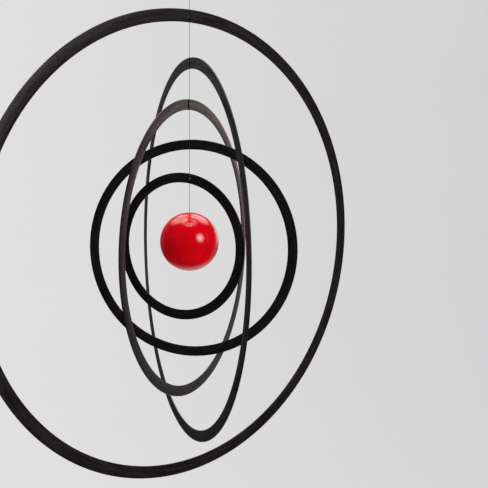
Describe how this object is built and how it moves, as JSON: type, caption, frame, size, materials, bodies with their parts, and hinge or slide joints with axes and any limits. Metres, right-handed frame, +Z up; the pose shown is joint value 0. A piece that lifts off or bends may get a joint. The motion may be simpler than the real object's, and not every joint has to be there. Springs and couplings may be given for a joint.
{
  "type": "hanging mobile sculpture",
  "caption": "Hanging mobile: flat black rings nested one inside another on a thread, each free to turn, round a glossy red ball.",
  "frame": {"origin": "inside of the hanging loop's top, where a hook carries it", "axes": "+Z up along the thread; +Y away from the side that the mobile is seen from; +X to the right from there"},
  "size_m": [0.3558, 0.3515, 0.4831],
  "materials": {
    "ring_sheet": "thin black-stained sheet, satin, with a faint grain",
    "ball_lacquer": "glossy red lacquer on a turned ball",
    "thread": "fine black thread"
  },
  "bodies": {
    "line": {"hanging_loop": "thread", "thread": "thread", "ball": "ball_lacquer"},
    "outer_ring": {"outer_ring": "ring_sheet"},
    "second_ring": {"second_ring": "ring_sheet"},
    "third_ring": {"third_ring": "ring_sheet"},
    "fourth_ring": {"fourth_ring": "ring_sheet"},
    "inner_ring": {"inner_ring": "ring_sheet"}
  },
  "joints": [
    {"name": "outer_ring_turn", "type": "hinge", "parent": "line", "child": "outer_ring", "pos_m": [0, 0, -0.258], "axis": [0, 0, 1], "continuous": true},
    {"name": "second_ring_turn", "type": "hinge", "parent": "line", "child": "second_ring", "pos_m": [0, 0, -0.258], "axis": [0, 0, 1], "continuous": true},
    {"name": "third_ring_turn", "type": "hinge", "parent": "line", "child": "third_ring", "pos_m": [0, 0, -0.258], "axis": [0, 0, 1], "continuous": true},
    {"name": "fourth_ring_turn", "type": "hinge", "parent": "line", "child": "fourth_ring", "pos_m": [0, 0, -0.258], "axis": [0, 0, 1], "continuous": true},
    {"name": "inner_ring_turn", "type": "hinge", "parent": "line", "child": "inner_ring", "pos_m": [0, 0, -0.258], "axis": [0, 0, 1], "continuous": true}
  ]
}
